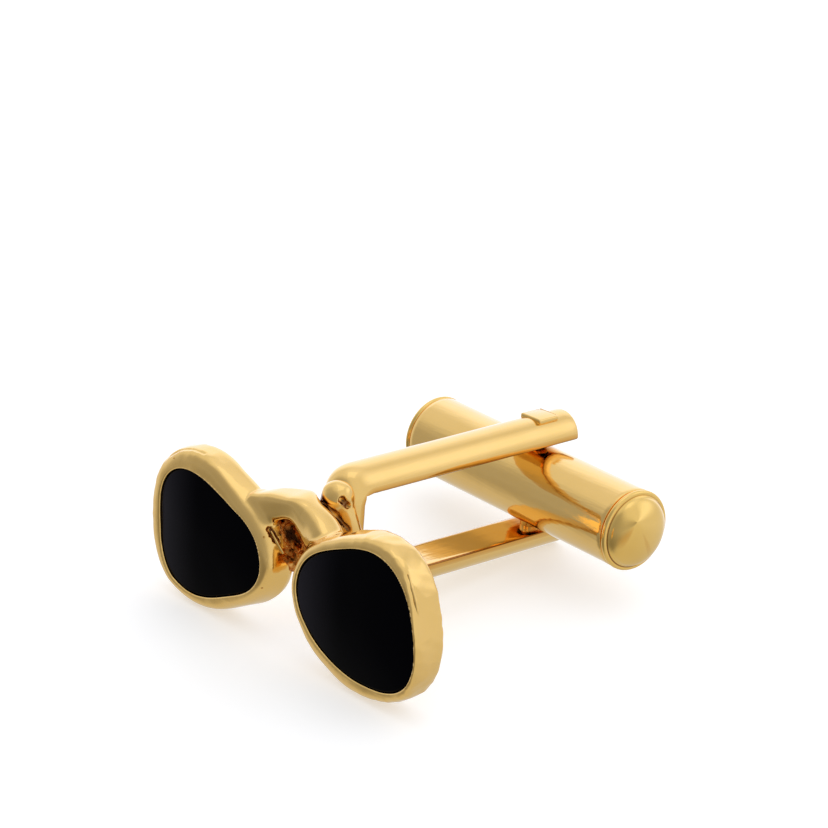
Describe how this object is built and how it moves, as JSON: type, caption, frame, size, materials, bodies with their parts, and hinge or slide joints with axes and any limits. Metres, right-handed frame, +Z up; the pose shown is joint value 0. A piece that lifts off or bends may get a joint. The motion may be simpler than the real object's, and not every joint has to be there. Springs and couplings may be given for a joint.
{
  "type": "cufflink",
  "caption": "Cufflink shaped like sunglasses, with glossy dark inlays in a polished gold frame, a half-round wire shank and a swivelling toggle bar.",
  "frame": {"origin": "on the surface it lies on, under the middle of its bounding box", "axes": "+X to the right lens as seen from the front, +Y from the face towards the toggle, +Z up from the surface it lies on"},
  "size_m": [0.0224, 0.0238, 0.0098],
  "materials": {
    "gold": "polished gold plate",
    "black_inlay": "polished"
  },
  "bodies": {
    "link": {"frame": "gold", "right_inlay": "black_inlay", "left_inlay": "black_inlay", "pivot_pin": "gold"},
    "toggle_bar": {"toggle_tube": "gold", "right_end_cap": "gold", "left_end_cap": "gold"}
  },
  "joints": [
    {"name": "toggle_turn", "type": "hinge", "parent": "link", "child": "toggle_bar", "pos_m": [-0.00017, 0.0087, 0.00432], "axis": [-0.048, 0.0906, 0.9947], "continuous": true}
  ]
}
